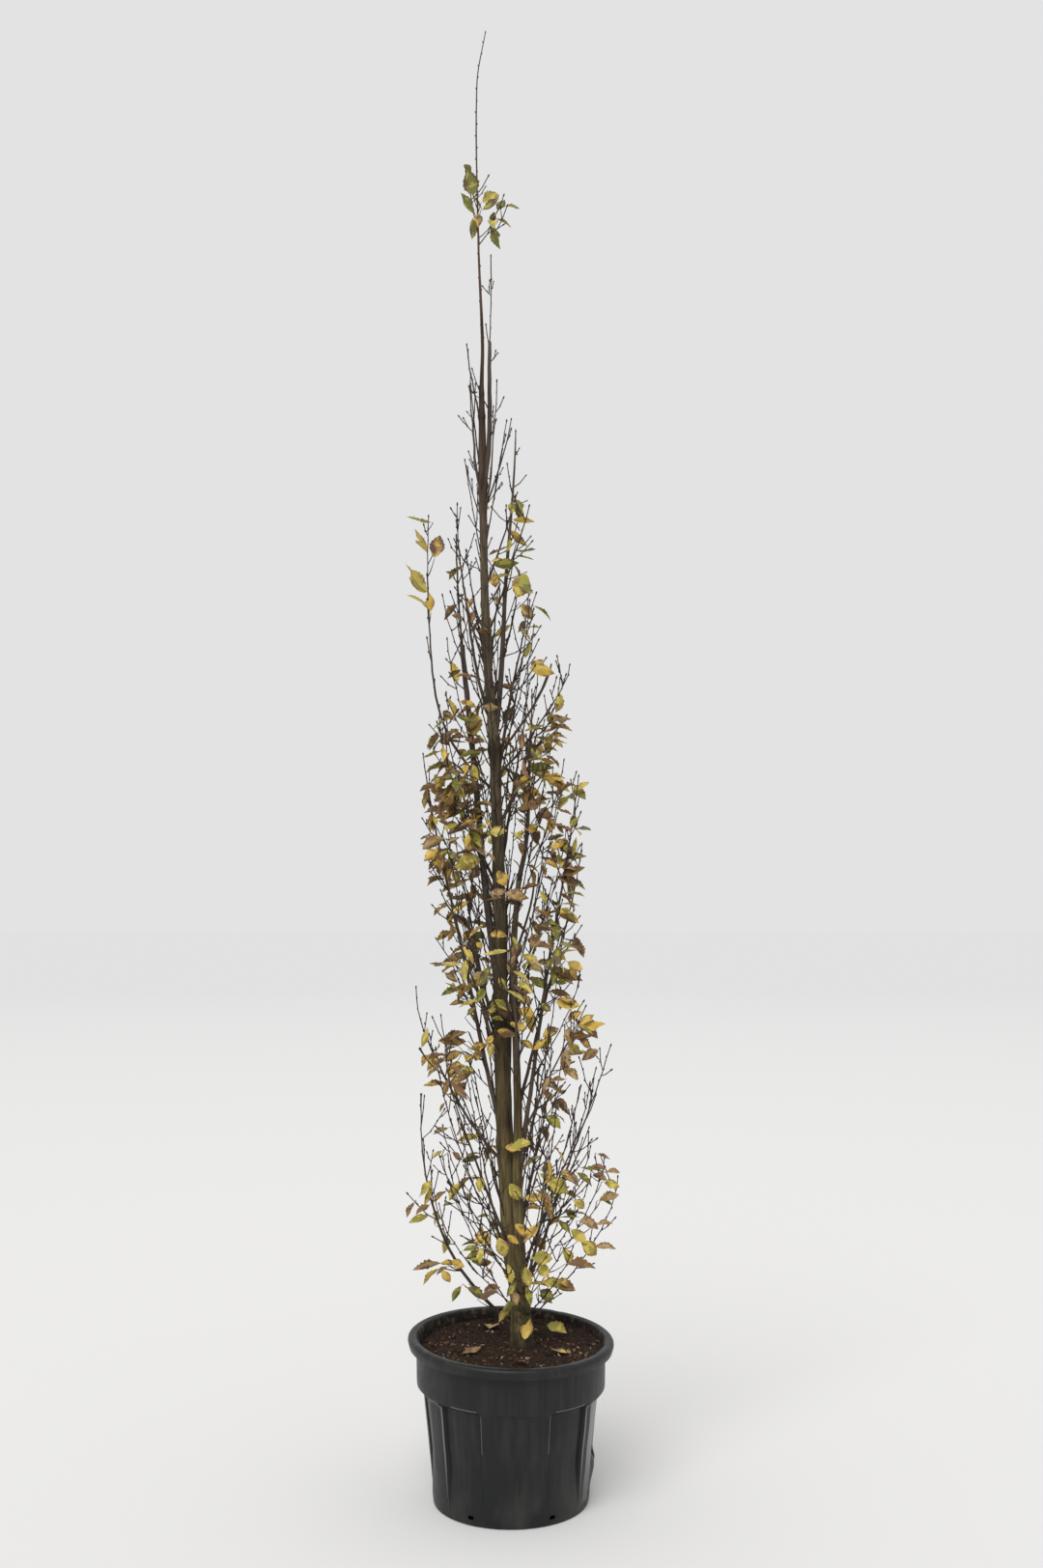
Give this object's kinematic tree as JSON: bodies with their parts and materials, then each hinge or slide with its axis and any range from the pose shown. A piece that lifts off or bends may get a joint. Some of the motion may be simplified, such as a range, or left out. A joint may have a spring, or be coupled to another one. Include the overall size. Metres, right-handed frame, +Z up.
{
  "type": "potted hornbeam tree",
  "caption": "Slender young European hornbeam in late autumn: a straight trunk with upright boughs, fine twigs and yellow-brown leaves, in a round black nursery pot of soil.",
  "frame": {"origin": "centre of the pot's flat underside, on the ground", "axes": "+Z up to the tip of the leader, +X to the right and +Y away from the viewer in the picture"},
  "size_m": [0.5911, 0.544, 4.0052],
  "materials": {
    "pot_plastic": "black moulded plastic, satin, a little dusty",
    "soil_mix": "moist peat and bark growing mix, rough",
    "bark": "grey-brown smooth bark with fine ridges",
    "autumn_foliage": "thin matt leaves in autumn yellow, olive and brown on brown twigs"
  },
  "bodies": {
    "root": {"bough_back_mid": "bark", "bough_back_upright": "bark", "bough_front_mid": "bark", "bough_left_back_mid": "bark", "bough_left_cluster": "bark", "bough_left_cluster_back": "bark", "bough_left_front_mid": "bark", "bough_left_long": "bark", "bough_left_main": "bark", "bough_left_upright": "bark", "bough_low_front": "bark", "bough_low_left": "bark", "bough_low_left_front": "bark", "bough_low_right": "bark", "bough_low_right_back": "bark", "bough_right_back": "bark", "bough_right_main": "bark", "bough_top_right": "bark", "bough_upper_left": "bark", "bough_upper_right_main": "bark", "bough_upper_right_thin": "bark", "mass_back_mid": "autumn_foliage", "mass_back_upright": "autumn_foliage", "mass_far_left_shoot": "autumn_foliage", "mass_foot_shoot": "autumn_foliage", "mass_front_mid": "autumn_foliage", "mass_leaf_tuft_left": "autumn_foliage", "mass_leaf_tuft_right": "autumn_foliage", "mass_left_back_mid": "autumn_foliage", "mass_left_cluster": "autumn_foliage", "mass_left_cluster_back": "autumn_foliage", "mass_left_front_mid": "autumn_foliage", "mass_left_long": "autumn_foliage", "mass_left_main": "autumn_foliage", "mass_left_upright": "autumn_foliage", "mass_low_front": "autumn_foliage", "mass_low_left": "autumn_foliage", "mass_low_left_back": "autumn_foliage", "mass_low_left_front": "autumn_foliage", "mass_low_right": "autumn_foliage", "mass_low_right_back": "autumn_foliage", "mass_low_right_side": "autumn_foliage", "mass_right_back": "autumn_foliage", "mass_right_cluster": "autumn_foliage", "mass_right_main": "autumn_foliage", "mass_right_upper": "autumn_foliage", "mass_right_upper_back": "autumn_foliage", "mass_right_upright": "autumn_foliage", "mass_top_left": "autumn_foliage", "mass_top_right": "autumn_foliage", "mass_top_right_low": "autumn_foliage", "mass_upper_back": "autumn_foliage", "mass_upper_front": "autumn_foliage", "mass_upper_left": "autumn_foliage", "mass_upper_right_main": "autumn_foliage", "mass_upper_right_thin": "autumn_foliage", "pot": "pot_plastic", "second_stem": "bark", "soil": "soil_mix", "trunk": "bark"}
  },
  "joints": []
}
